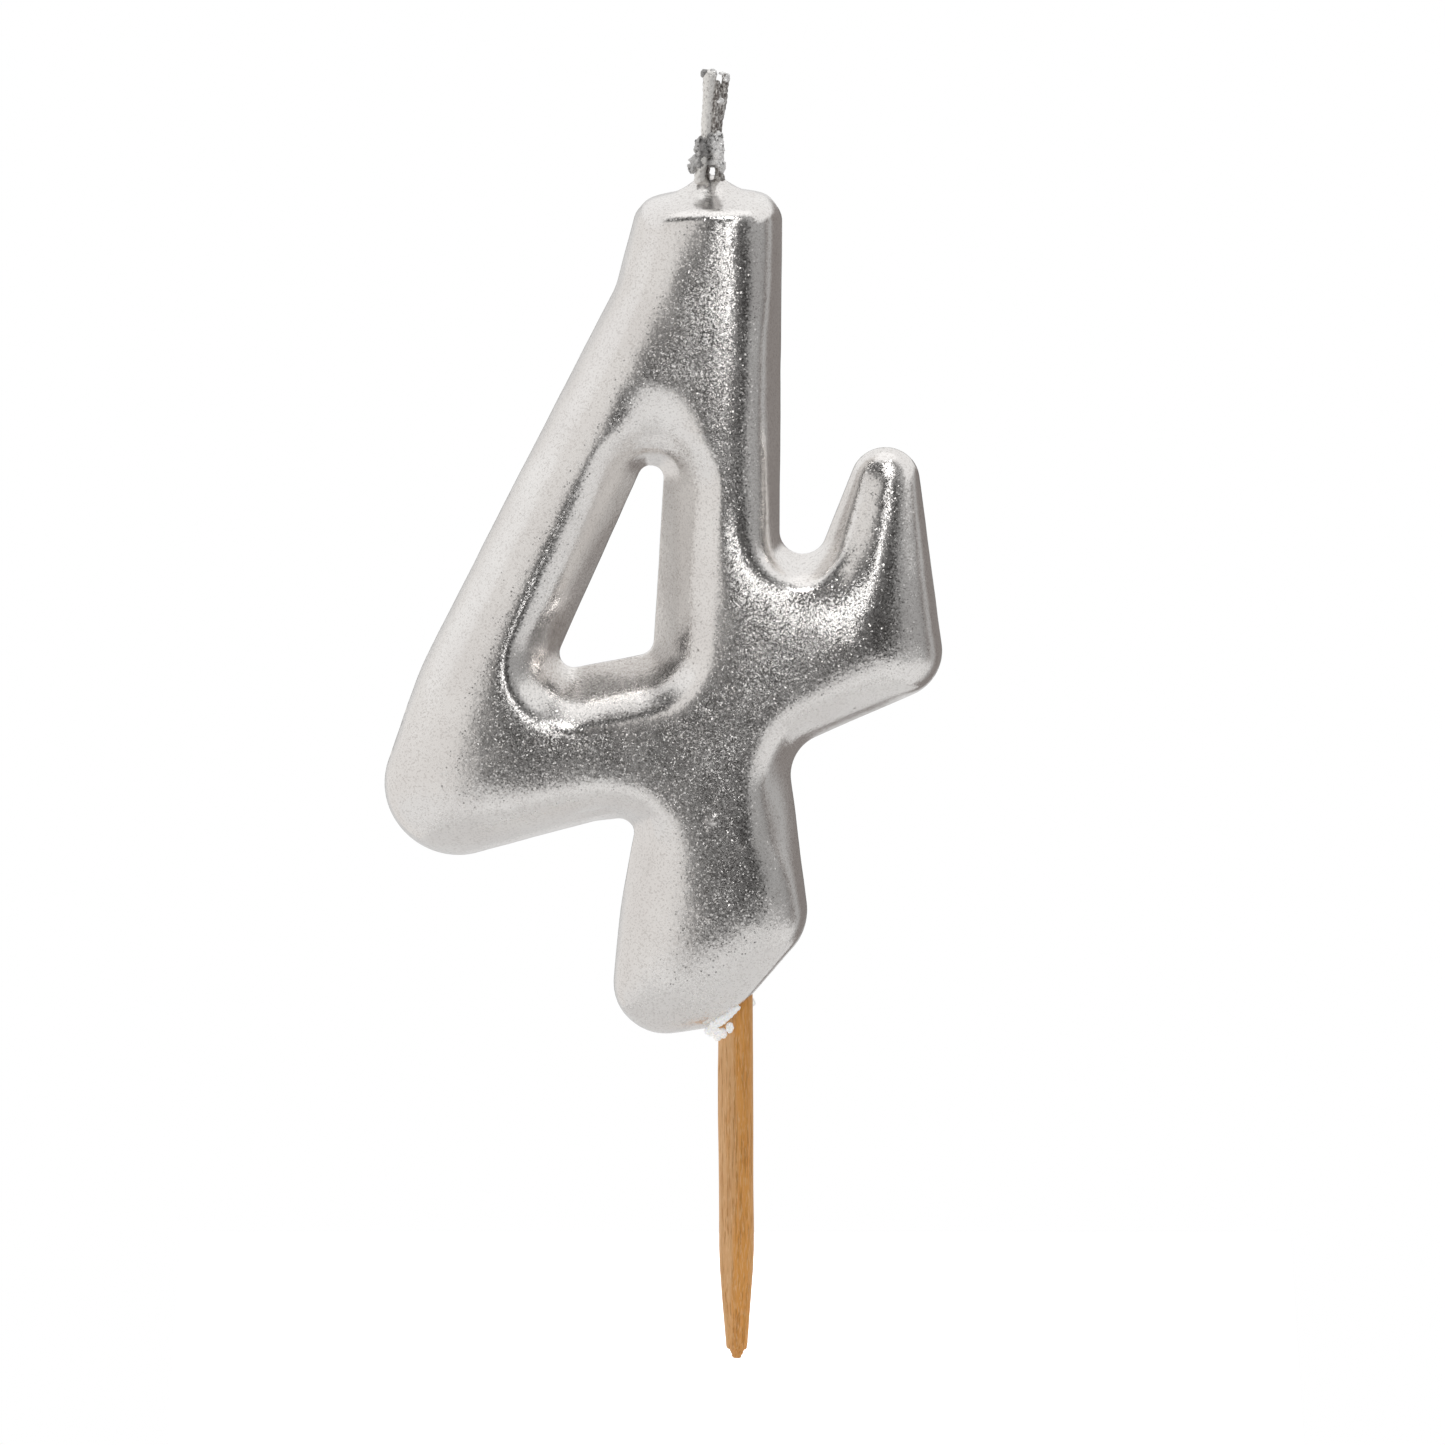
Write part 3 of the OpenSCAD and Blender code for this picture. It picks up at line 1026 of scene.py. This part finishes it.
def swept_tube(
    path: np.ndarray, radii: np.ndarray, sides: int, twist: float, plies: int, seed: float,
    groove: float, fuzz: float,
) -> tuple[np.ndarray, list]:
    """A twisted yarn along a path, closed at both ends.

    Args:
        path: Points along its middle, in millimetres.
        radii: Radius at each of them.
        sides: Corners round it.
        twist: Turns per millimetre.
        plies: How many plies show round it.
        seed: Seed of its surface noise.
        groove: Depth of the grooves between plies, as a share of the radius.
        fuzz: Height of the surface noise in millimetres.

    Returns:
        Corner positions and faces.
    """
    ahead = unit_rows(np.gradient(path, axis=0))
    along = walked(path)
    side = np.cross(ahead[0], (0.0, 1.0, 0.0))
    rows = []
    for k, (centre, direction) in enumerate(zip(path, ahead)):
        side = side - direction * (side @ direction)
        side /= np.linalg.norm(side)
        other = np.cross(direction, side)
        angles = np.linspace(0, 2 * np.pi, sides, endpoint=False)
        ply = np.abs(np.cos(plies / 2 * (angles - 2 * np.pi * twist * along[k])))
        size = radii[k] * (1 - groove + groove * ply)
        ring = np.cos(angles)[:, None] * side + np.sin(angles)[:, None] * other
        rows.append(centre + size[:, None] * ring)
    points = np.vstack(rows)
    bump = fuzz * (noise_at(points, 0.35, seed) + 0.5 * noise_at(points, 0.12, seed + 3))
    points = points + unit_rows(points - np.repeat(path, sides, axis=0)) * bump[:, None]
    faces = band_faces(len(path), sides)
    points = np.vstack([points, path[0] - ahead[0] * 0.02, path[-1] + ahead[-1] * 0.02])
    last = (len(path) - 1) * sides
    faces += [(len(points) - 2, (s + 1) % sides, s) for s in range(sides)]
    faces += [(len(points) - 1, last + s, last + (s + 1) % sides) for s in range(sides)]
    return points, faces


def spline(knots: tuple[Point, ...], step: float) -> np.ndarray:
    """A smooth path through knots.

    Args:
        knots: Points to pass through, in millimetres.
        step: Distance between the path's points.

    Returns:
        The path's points.
    """
    pts = np.array(knots)
    pts = np.vstack([2 * pts[0] - pts[1], pts, 2 * pts[-1] - pts[-2]])
    rows = []
    for i in range(1, len(pts) - 2):
        p0, p1, p2, p3 = pts[i - 1 : i + 3]
        count = max(2, int(np.linalg.norm(p2 - p1) / step))
        for t in np.arange(count) / count:
            bend = (2 * p0 - 5 * p1 + 4 * p2 - p3) * t * t + (3 * p1 - p0 - 3 * p2 + p3) * t**3
            rows.append(0.5 * (2 * p1 + (p2 - p0) * t + bend))
    rows.append(pts[-2])
    return np.array(rows)


def lump(
    name: str, blobs: tuple[Blob, ...], cell: float, rough: float, size: float, seed: float,
    material: bpy.types.Material,
) -> bpy.types.Object:
    """A crusty lump: blobs melted together, then roughened.

    Args:
        name: The piece's name.
        blobs: Each blob's centre and radii in millimetres.
        cell: Size of its mesh in millimetres.
        rough: Height of the roughness in millimetres.
        size: Size of the largest bumps in millimetres.
        seed: Seed of the roughness.
        material: Its material.

    Returns:
        The new piece.
    """
    sphere_rows, sides = 12, 20
    points, faces = [], []
    for centre, radii in blobs:
        base, middle, size_xyz = len(points), np.array(centre), np.array(radii)
        points.append(middle + size_xyz * (0, 0, 1))
        for r in range(1, sphere_rows):
            tilt = math.pi * r / sphere_rows
            for s in range(sides):
                turn = 2 * math.pi * s / sides
                way = (math.sin(tilt) * math.cos(turn), math.sin(tilt) * math.sin(turn), math.cos(tilt))
                points.append(middle + size_xyz * way)
        points.append(middle - size_xyz * (0, 0, 1))
        for s in range(sides):
            n = (s + 1) % sides
            faces.append((base, base + 1 + s, base + 1 + n))
            for r in range(sphere_rows - 2):
                a, b = base + 1 + r * sides, base + 1 + (r + 1) * sides
                faces.append((a + s, b + s, b + n, a + n))
            a = base + 1 + (sphere_rows - 2) * sides
            faces.append((len(points) - 1, a + n, a + s))
    piece = add_mesh(name, np.array(points), faces, material)
    melt = piece.modifiers.new("melt", "REMESH")
    melt.mode = "VOXEL"
    melt.voxel_size = cell * MM
    melt.use_smooth_shade = True
    bpy.context.view_layer.update()
    melted = bpy.data.meshes.new_from_object(piece.evaluated_get(bpy.context.evaluated_depsgraph_get()))
    piece.modifiers.clear()
    old = piece.data
    piece.data = melted
    bpy.data.meshes.remove(old)
    count = len(melted.vertices)
    flat = np.empty(count * 3)
    melted.vertices.foreach_get("co", flat)
    places = flat.reshape(-1, 3) / MM
    melted.vertices.foreach_get("normal", flat)
    normals = flat.reshape(-1, 3).copy()
    lift = noise_at(places, size, seed) + 0.6 * np.abs(noise_at(places, size * 0.45, seed + 5))
    lift += 0.35 * noise_at(places, size * 0.2, seed + 9)
    places = places + normals * (rough * lift)[:, None]
    melted.vertices.foreach_set("co", (places * MM).ravel())
    melted.materials.clear()
    melted.materials.append(material)
    melted.update()
    return piece


@dataclass(frozen=True)
class Yarn:
    """One yarn of the wick: its knots as x, y, z and radius, in millimetres."""

    name: str
    node: str
    seed: float
    # whether the yarn takes the cotton with more dark patches (the right and back yarns)
    darker: bool
    knots: tuple[tuple[float, float, float, float], ...]
    twist: float = 0.42
    step: float = 0.09
    sides: int = 28
    plies: int = 5
    groove: float = 0.16
    fuzz: float = 0.05
    round_end: float = 0.12

    def build(self, material: bpy.types.Material) -> bpy.types.Object:
        """The yarn's mesh, dressed."""
        values = np.array(self.knots)
        path = spline(tuple(map(tuple, values[:, :3])), self.step)
        at, along = walked(values[:, :3]), walked(path)
        radii = np.interp(along / along[-1], at / at[-1], values[:, 3])
        radii *= np.sqrt(np.clip((along[-1] - along) / self.round_end, 0.05, 1.0))
        points, faces = swept_tube(
            path, radii, self.sides, self.twist, self.plies, self.seed, self.groove, self.fuzz
        )
        return add_mesh(self.name, points, faces, material)


@dataclass
class Wick:
    """Three waxed yarns, the crust that binds them and their hard ends."""

    cotton: YarnCotton = field(default_factory=YarnCotton)
    dark_cotton: YarnCotton = field(default_factory=lambda: YarnCotton(name="wick_cotton_dark", dark_level=0.42))
    crust: CrustLacquer = field(default_factory=CrustLacquer)
    yarns: tuple[Yarn, ...] = (
        Yarn("yarn_left", "wick_yarn_left", 11.0, False, (
            (-2.75, -0.3, 24.0, 0.42), (-2.8, -0.3, 66.0, 0.42), (-3.0, -0.3, 68.4, 0.44),
            (-2.95, -0.3, 69.8, 0.43), (-2.75, -0.3, 71.0, 0.44), (-2.45, -0.3, 72.6, 0.46),
            (-2.36, -0.3, 74.0, 0.45), (-2.27, -0.3, 75.6, 0.46), (-2.18, -0.25, 76.9, 0.5),
            (-2.12, -0.25, 77.9, 0.56), (-2.1, -0.2, 78.5, 0.58), (-2.08, -0.2, 78.8, 0.45),
        )),
        Yarn("yarn_right", "wick_yarn_right", 23.0, True, (
            (-1.4, -0.1, 24.0, 0.36), (-1.4, -0.1, 66.0, 0.36), (-1.2, -0.1, 68.6, 0.46),
            (-1.3, -0.1, 69.8, 0.33), (-1.4, 0.0, 71.0, 0.34), (-1.45, 0.25, 72.6, 0.36),
            (-1.42, 0.3, 74.4, 0.38), (-1.2, 0.1, 75.6, 0.44), (-1.06, 0.0, 76.4, 0.42),
            (-0.95, 0.0, 77.1, 0.34), (-0.84, -0.05, 77.7, 0.32), (-0.78, -0.05, 78.1, 0.35),
            (-0.95, -0.05, 78.5, 0.22),
        )),
        Yarn("yarn_back", "wick_yarn_back", 37.0, True, (
            (-2.3, 0.6, 24.0, 0.36), (-2.3, 0.6, 66.0, 0.36), (-2.5, 0.45, 68.6, 0.38),
            (-2.45, 0.5, 70.2, 0.36), (-2.2, 0.4, 72.0, 0.38), (-1.8, 0.0, 73.4, 0.4),
            (-1.64, -0.15, 74.8, 0.4), (-1.6, -0.2, 76.0, 0.38), (-1.42, -0.2, 76.9, 0.38),
            (-1.42, -0.15, 77.4, 0.3), (-1.5, -0.15, 77.9, 0.2),
        )),
    )
    crust_blobs: tuple[Blob, ...] = (
        ((-2.6, -0.35, 72.4), (0.75, 0.7, 0.95)), ((-1.95, -0.3, 72.7), (0.7, 0.75, 0.95)),
        ((-1.45, -0.3, 72.2), (0.5, 0.6, 1.1)), ((-3.1, -0.4, 71.2), (0.6, 0.45, 0.6)),
        ((-3.5, -0.4, 70.7), (0.38, 0.32, 0.42)), ((-1.7, -0.2, 71.1), (0.75, 0.4, 0.35)),
        ((-1.2, -0.3, 70.9), (0.35, 0.35, 0.6)), ((-1.45, -0.3, 73.3), (0.4, 0.4, 0.45)),
    )
    tip_blobs: tuple[Blob, ...] = (
        ((-2.5, -0.3, 78.5), (0.32, 0.34, 0.36)), ((-1.85, -0.25, 78.5), (0.36, 0.34, 0.36)),
        ((-2.15, 0.0, 78.45), (0.4, 0.3, 0.24)), ((-0.76, -0.1, 78.1), (0.3, 0.3, 0.42)),
        ((-1.1, -0.1, 78.45), (0.3, 0.2, 0.13)), ((-1.36, -0.25, 76.3), (0.44, 0.32, 0.36)),
    )

    def build(self) -> list[tuple[bpy.types.Object, str]]:
        """Make every piece of the wick.

        Returns:
            Each piece with the CAD node that it stands for.
        """
        pale, dark, crust = self.cotton.build(), self.dark_cotton.build(), self.crust.build()
        made = [(yarn.build(dark if yarn.darker else pale), yarn.node) for yarn in self.yarns]
        made.append((lump("wick_crust_lump", self.crust_blobs, 0.055, 0.16, 0.3, 4.0, crust), "wick_crust"))
        made.append((lump("wick_tip_lumps", self.tip_blobs, 0.045, 0.08, 0.25, 8.0, crust), "wick_tips"))
        return made


# ---------------------------------------------------------------- the pick


@dataclass
class Pick:
    """The wooden pick and the torn wax where it leaves the numeral."""

    wood: PickWood = field(default_factory=PickWood)
    wax: BareWax = field(default_factory=BareWax)
    profile: tuple[Spot, ...] = (
        (21.0, 1.2), (0.0, 1.42), (-10.0, 1.45), (-19.6, 1.43), (-21.4, 1.36), (-23.6, 1.2), (-25.9, 1.02),
        (-27.5, 0.9), (-27.95, 0.82), (-28.15, 0.56), (-28.55, 0.46), (-28.8, 0.34),
    )
    sides: int = 72
    step: float = 0.12
    lean: float = 0.09
    lean_over: float = 22.0
    fibre_depth: float = 0.035
    shave_depth: float = 0.07
    torn_depth: float = 0.16
    torn_from: Spot = (26.8, 28.4)
    ragged_from: float = -27.6
    ragged: float = 0.22
    proud: float = 0.02
    lip_start: Point = (-2.3, -1.95, -0.95)
    lip_stop: Point = (0.05, -1.95, 1.0)
    lip_bow: float = 0.3
    lip_crumbs: int = 34
    foot_crumbs: tuple[Point, ...] = ((-1.9, -1.2, 0.36), (-1.3, -1.2, 0.34), (-1.55, -0.95, 0.4))
    ring_radius: float = 1.5
    ring_turns: tuple[float, float, float] = (36.0, 260.0, 24.0)
    seed: int = 5

    def build(self) -> list[tuple[bpy.types.Object, str]]:
        """Make the pick and the wax round it.

        Returns:
            Each piece with the CAD node that it stands for.
        """
        return [(self._stick(), "pick"), (self._torn_wax(), "pick_seal")]

    def _stick(self) -> bpy.types.Object:
        """The pick: a shaved stick with raised fibres and a torn tip."""
        top, low = self.profile[0][0], self.profile[-1][0]
        levels = np.concatenate([np.linspace(top, 1.5, 24), np.arange(1.4, low, -self.step), [low]])
        heights, sizes = (np.array([p[k] for p in self.profile][::-1]) for k in range(2))
        radii = np.interp(levels, heights, sizes)
        angles = np.linspace(0, 2 * np.pi, self.sides, endpoint=False)
        way = np.column_stack([np.cos(angles), np.sin(angles), np.zeros(self.sides)])
        rows = []
        for z, radius in zip(levels, radii):
            ring = way * radius + (0.0, 0.0, z)
            noise_mix = self.fibre_depth * noise_at(way * 4.2 + (0.0, 0.0, z * 0.05), 1.0, 3.0)
            noise_mix += self.shave_depth * noise_at(way * 1.3 + (0.0, 0.0, z * 0.16), 1.0, 6.0)
            torn = float(smooth_step(np.array(-z), *self.torn_from))
            noise_mix += torn * self.torn_depth * noise_at(ring, 0.35, 9.0)
            ring += way * np.minimum(noise_mix, self.proud)[:, None]
            ring[:, 0] += self.lean * smooth_step(np.array(-z), 0.0, self.lean_over)
            if low < z < self.ragged_from:
                ring[:, 2] += self.ragged * noise_at(ring, 0.4, 13.0)
            rows.append(ring)
        points = np.vstack(rows + [np.array([[0.0, 0.0, top], [self.lean, 0.0, low + 0.15]])])
        sides, count = self.sides, len(levels)
        faces: list = [(a, d, c, b) for a, b, c, d in band_faces(count, sides)]
        cap, tip, last = len(points) - 2, len(points) - 1, (count - 1) * sides
        faces += [(cap, s, (s + 1) % sides) for s in range(sides)]
        faces += [(tip, last + (s + 1) % sides, last + s) for s in range(sides)]
        return add_mesh("pick_stick", points, faces, self.wood.build())

    def _torn_wax(self) -> bpy.types.Object:
        """Crumbs of bare wax: a torn lip in front of the pick and a ring of lumps round it."""
        draw = np.random.default_rng(self.seed)
        start, stop = np.array(self.lip_start), np.array(self.lip_stop)
        blobs = []
        for t in np.linspace(0, 1, self.lip_crumbs):
            x, y, z = start + (stop - start) * t
            x += draw.uniform(-0.1, 0.1)
            z += draw.uniform(-0.16, 0.16)
            y += draw.uniform(-0.06, 0.06) - self.lip_bow * math.sin(math.pi * t)
            blobs.append(((x, y, z), (draw.uniform(0.24, 0.42), 0.32, draw.uniform(0.16, 0.3))))
        for turn in np.radians(np.arange(*self.ring_turns)):
            x, y = self.ring_radius * math.cos(turn), self.ring_radius * math.sin(turn)
            size = draw.uniform(0.3, 0.46)
            blobs.append(((x, y, -0.35 + 0.95 * x), (size, size, 0.4)))
        blobs += [((x, -1.8, z), (wide, 0.4, 0.18)) for x, z, wide in self.foot_crumbs]
        return lump("torn_wax", tuple(blobs), 0.06, 0.1, 0.22, 21.0, self.wax.build())


# ---------------------------------------------------------------- studio


@dataclass(frozen=True)
class SoftBox:
    """A soft patch of light far away, by bearing and height in degrees."""

    bearing: float
    half_width: float
    height: float
    half_height: float
    soft: float
    strength: float
    tint: tuple[float, float, float] = (1.0, 1.0, 1.0)


@dataclass
class Studio:
    """Floor, light and camera."""

    boxes: tuple[SoftBox, ...] = (
        SoftBox(66.0, 26.0, 5.0, 50.0, 10.0, 0.38),
        SoftBox(132.0, 40.0, -10.0, 50.0, 6.0, 0.27, (1.0, 0.92, 0.88)),
        SoftBox(112.0, 10.0, -5.0, 40.0, 8.0, 0.5),
        SoftBox(180.0, 12.0, -14.0, 50.0, 4.0, 0.8),
        SoftBox(-156.0, 26.0, 0.0, 90.0, 6.0, 0.7),
        SoftBox(-81.0, 69.0, -10.0, 66.0, 5.0, 0.86, (1.0, 0.985, 0.97)),
        SoftBox(0.0, 110.0, -57.0, 32.0, 5.0, 0.86),
        SoftBox(180.0, 120.0, 48.0, 40.0, 6.0, 0.98),
        SoftBox(-14.0, 54.0, 45.0, 11.0, 4.0, 0.06),
        SoftBox(0.0, 181.0, 90.0, 28.0, 6.0, 1.2),
        SoftBox(13.0, 4.0, 49.0, 5.0, 3.0, 19.0),
    )
    strip_bearing: float = 19.0
    strip_distance: float = 400.0
    strip_width: float = 28.0
    strip_foot: float = -50.0
    strip_top: float = 560.0
    strip_glow: float = 4.8
    ambient: float = 0.022
    frame_width: float = 117.84
    centre: Point = (-1.06, 0.0, 24.43)
    distance: float = 3000.0
    raised: float = 12.5
    bearing: float = 0.0
    sensor: float = 36.0
    floor_z: float = -29.2
    floor_half: float = 46.0
    floor_cells: int = 12
    clip: Spot = (0.01, 20.0)

    def build(self) -> None:
        """Make the floor, the light and the camera."""
        self._world()
        self._strip()
        self._floor()
        self._camera()
        bpy.context.scene.view_settings.view_transform = "Standard"

    def _world(self) -> None:
        """Soft boxes at a great distance; seen directly, the surroundings are plain white."""
        world = bpy.data.worlds.new("studio")
        bpy.context.scene.world = world
        world.use_nodes = True
        tree = world.node_tree
        tree.nodes.clear()
        bench = NodeBench(tree)
        split = bench.split(bench.add("ShaderNodeTexCoord").outputs["Generated"])
        x, y, z = (split[k] for k in range(3))
        ahead = bench.math("MULTIPLY", y, -1.0)
        bearing = bench.math("MULTIPLY", bench.math("ARCTAN2", x, ahead), math.degrees(1))
        height = bench.math("MULTIPLY", bench.math("ARCSINE", z), math.degrees(1))
        total: object = (self.ambient, self.ambient * 0.95, self.ambient * 0.92, 1.0)
        for box in self.boxes:
            apart = bench.math("ABSOLUTE", bench.math("SUBTRACT", bearing, box.bearing))
            apart = bench.math("MINIMUM", apart, bench.math("SUBTRACT", 360.0, apart))
            across = bench.ease(apart, box.half_width + box.soft, box.half_width - box.soft)
            off = bench.math("ABSOLUTE", bench.math("SUBTRACT", height, box.height))
            along = bench.ease(off, box.half_height + box.soft, box.half_height - box.soft)
            mask = bench.math("MULTIPLY", across, along)
            lit = tuple(box.strength * c for c in box.tint) + (1.0,)
            total = bench.mix(mask, total, lit)
        seen = bench.add("ShaderNodeLightPath").outputs["Is Camera Ray"]
        shown = bench.mix(seen, total, WHITE)
        light = bench.add("ShaderNodeBackground")
        bench.link(shown, light.inputs["Color"])
        out = bench.add("ShaderNodeOutputWorld")
        bench.link(light.outputs[0], out.inputs["Surface"])

    def _strip(self) -> None:
        """A tall narrow light near the candle, so that only the upper front shows its streak."""
        data = bpy.data.lights.new("strip", "AREA")
        data.shape = "RECTANGLE"
        data.size = self.strip_width * MM
        data.size_y = (self.strip_top - self.strip_foot) * MM
        data.energy = self.strip_glow * math.pi * data.size * data.size_y
        light = bpy.data.objects.new("strip", data)
        bpy.context.scene.collection.objects.link(light)
        turn = math.radians(self.strip_bearing)
        away = Vector((math.sin(turn), -math.cos(turn), 0.0))
        middle = Vector((0.0, 0.0, (self.strip_top + self.strip_foot) / 2 + WAX_FOOT[2]))
        light.location = (middle + away * self.strip_distance) * MM
        light.rotation_euler = (-away).to_track_quat("-Z", "Z").to_euler()

    def _floor(self) -> None:
        """A small pale sheet under the candle."""
        line = np.linspace(-self.floor_half, self.floor_half, self.floor_cells + 1)
        points = [(x, y, self.floor_z) for y in line for x in line]
        row = len(line)
        starts = [j * row + i for j in range(row - 1) for i in range(row - 1)]
        faces = [(k, k + 1, k + row + 1, k + row) for k in starts]
        add_mesh("floor", np.array(points), faces, FloorPaper().build())

    def _camera(self) -> None:
        """The camera, aimed at the middle of the view."""
        data = bpy.data.cameras.new("camera")
        camera = bpy.data.objects.new("camera", data)
        bpy.context.scene.collection.objects.link(camera)
        up, round_z = math.radians(self.raised), math.radians(self.bearing)
        away = Vector((math.sin(round_z) * math.cos(up), -math.cos(round_z) * math.cos(up), math.sin(up)))
        target = Vector(WAX_FOOT + self.centre) * MM
        camera.location = target + away * self.distance * MM
        camera.rotation_euler = (-away).to_track_quat("-Z", "Y").to_euler()
        data.sensor_width = self.sensor
        data.lens = self.sensor * self.distance / self.frame_width
        data.clip_start, data.clip_end = self.clip
        bpy.context.scene.camera = camera


# ---------------------------------------------------------------- assembly


def mount(piece: bpy.types.Object, *nodes: str) -> None:
    """Fix a piece to the candle in place of its CAD nodes, and report it."""
    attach(piece, BODY)
    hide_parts(*nodes)
    LOG.info("%s: %d faces, stands for %s", piece.name, len(piece.data.polygons), ", ".join(nodes))


def main() -> None:
    """Build every sub-assembly."""
    logging.basicConfig(level=logging.INFO, format="%(name)s %(message)s")
    Studio().build()
    mount(Numeral().build(), "silver_coat", "wax_body")
    for piece, node in Wick().build() + Pick().build():
        mount(piece, node)


if __name__ == "__main__":
    main()
